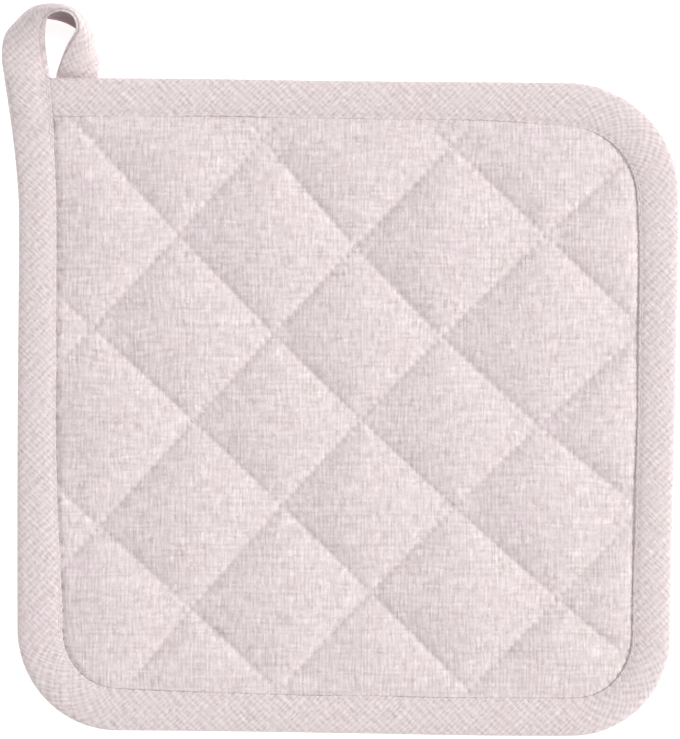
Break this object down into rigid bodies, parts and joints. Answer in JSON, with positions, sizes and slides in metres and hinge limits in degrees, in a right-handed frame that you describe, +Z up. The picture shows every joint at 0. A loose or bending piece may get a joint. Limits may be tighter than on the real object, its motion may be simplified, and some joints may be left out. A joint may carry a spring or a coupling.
{
  "type": "pot holder",
  "caption": "Square quilted cloth pot holder with rounded corners, a bias-bound edge and a hanging loop at one corner, lying flat.",
  "frame": {"origin": "middle of the whole pot holder's outline, loop included, on the surface that it lies on", "axes": "+Z up through the pad's thickness, +Y towards the edge with the loop, +X to the right seen from above"},
  "size_m": [0.2066, 0.2241, 0.0142],
  "materials": {
    "panel_cloth": "pale pink plain weave with uneven threads, quilted",
    "tape_cloth": "the same plain weave cut on the bias",
    "loop_cloth": "the same plain weave cut on the bias"
  },
  "bodies": {
    "root": {"quilted_pad": "panel_cloth", "binding": "tape_cloth", "hanging_loop": "loop_cloth"}
  },
  "joints": []
}
